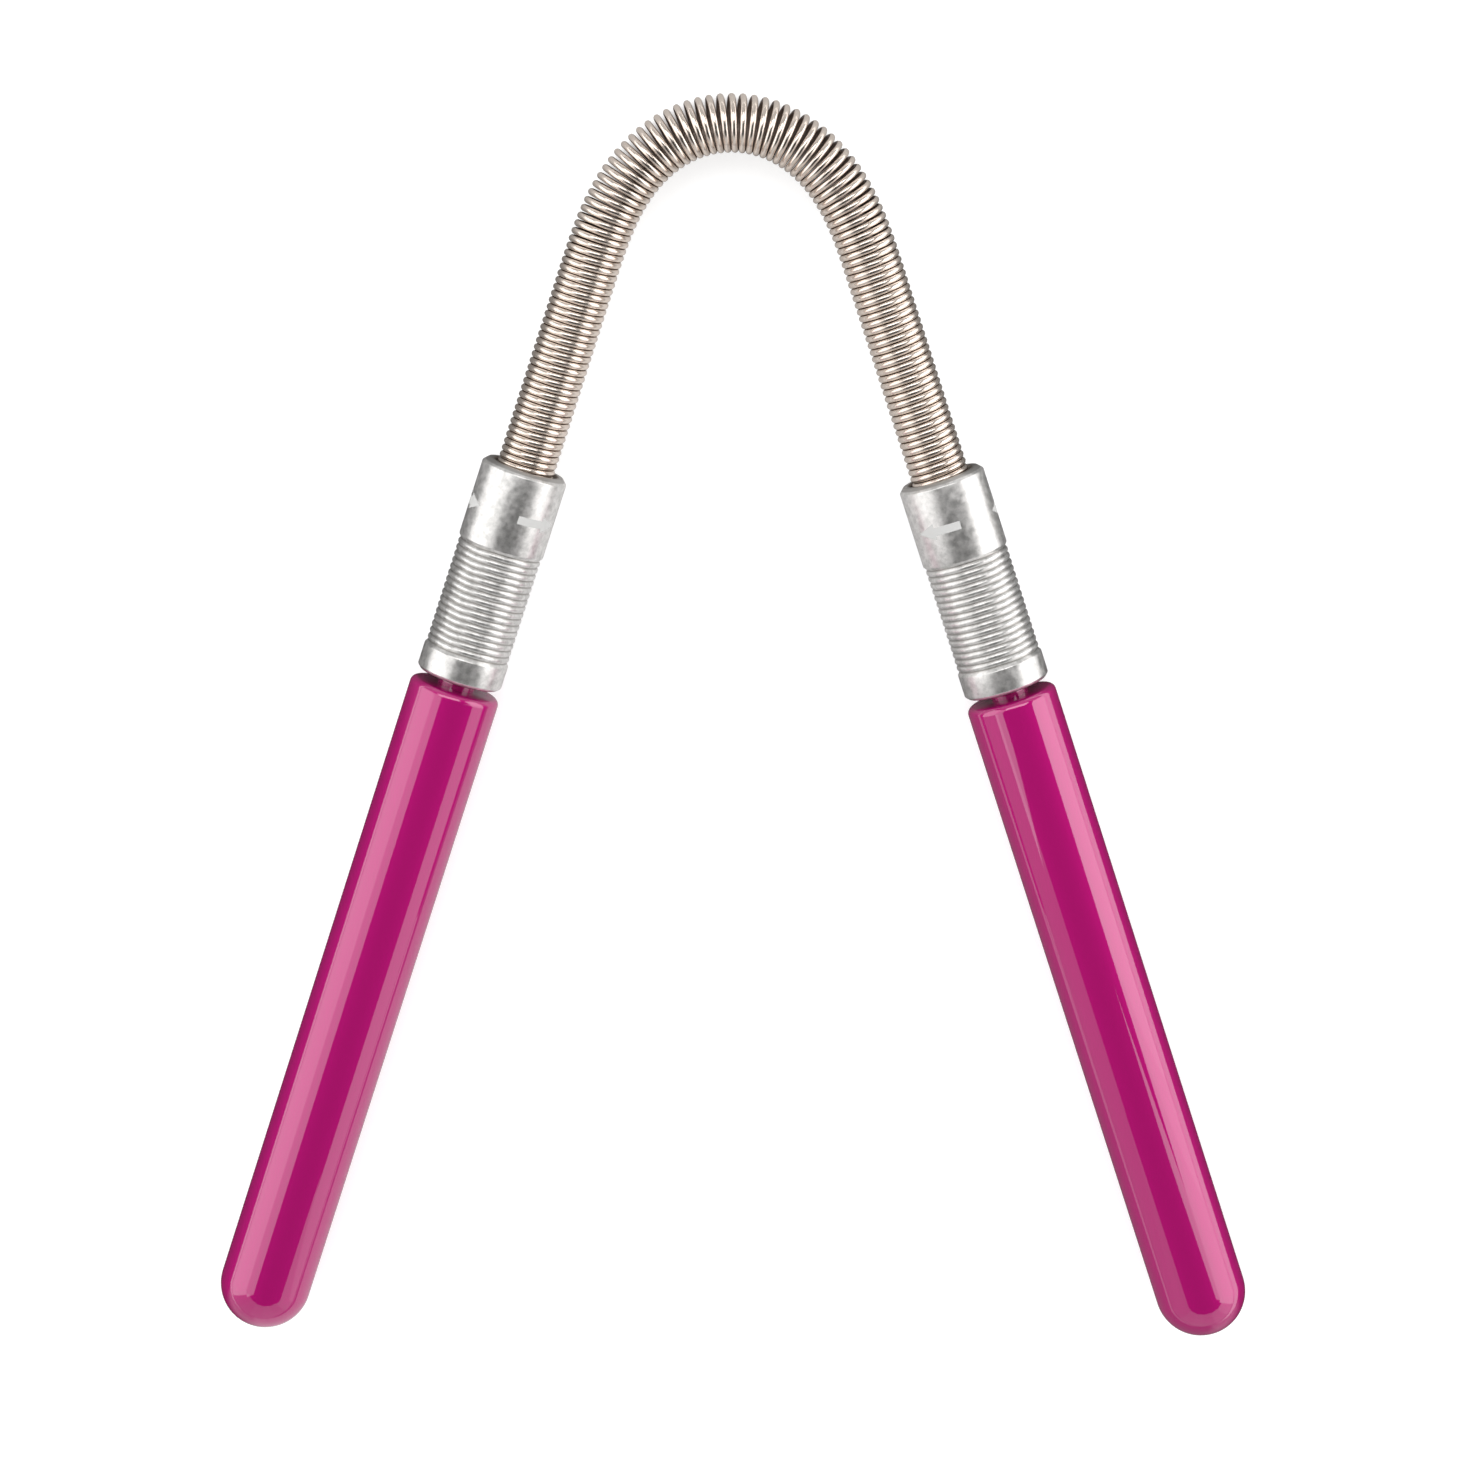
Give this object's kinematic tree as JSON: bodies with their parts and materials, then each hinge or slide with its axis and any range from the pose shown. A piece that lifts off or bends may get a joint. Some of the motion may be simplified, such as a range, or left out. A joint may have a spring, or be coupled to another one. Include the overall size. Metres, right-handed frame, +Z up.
{
  "type": "facial hair removal spring",
  "caption": "Hair removal tool: a close-wound coil spring bent into an arch between two grooved metal ferrules, with a round-ended handle that swivels on each.",
  "frame": {"origin": "middle of the outline, at the level of the surface that the tool lies on", "axes": "+Y towards the top of the arch, +X towards the right handle, +Z up from the surface"},
  "size_m": [0.0916, 0.1103, 0.008],
  "materials": {
    "spring_wire": "polished",
    "ferrule_metal": "satin turned",
    "handle_pink": "gloss anodised",
    "inner_steel": "plain"
  },
  "bodies": {
    "coil_and_ferrules": {"coil_spring": "spring_wire", "left_ferrule": "ferrule_metal", "right_ferrule": "ferrule_metal", "left_spring_plug": "inner_steel", "right_spring_plug": "inner_steel"},
    "left_handle": {"left_handle": "handle_pink", "left_retaining_screw": "inner_steel"},
    "right_handle": {"right_handle": "handle_pink", "right_retaining_screw": "inner_steel"}
  },
  "joints": [
    {"name": "left_handle_swivel", "type": "hinge", "parent": "coil_and_ferrules", "child": "left_handle", "pos_m": [-0.02396, 0.00439, 0.004], "axis": [-0.309, -0.9511, 0], "continuous": true},
    {"name": "right_handle_swivel", "type": "hinge", "parent": "coil_and_ferrules", "child": "right_handle", "pos_m": [0.02396, 0.00363, 0.004], "axis": [0.309, -0.9511, 0], "continuous": true}
  ]
}
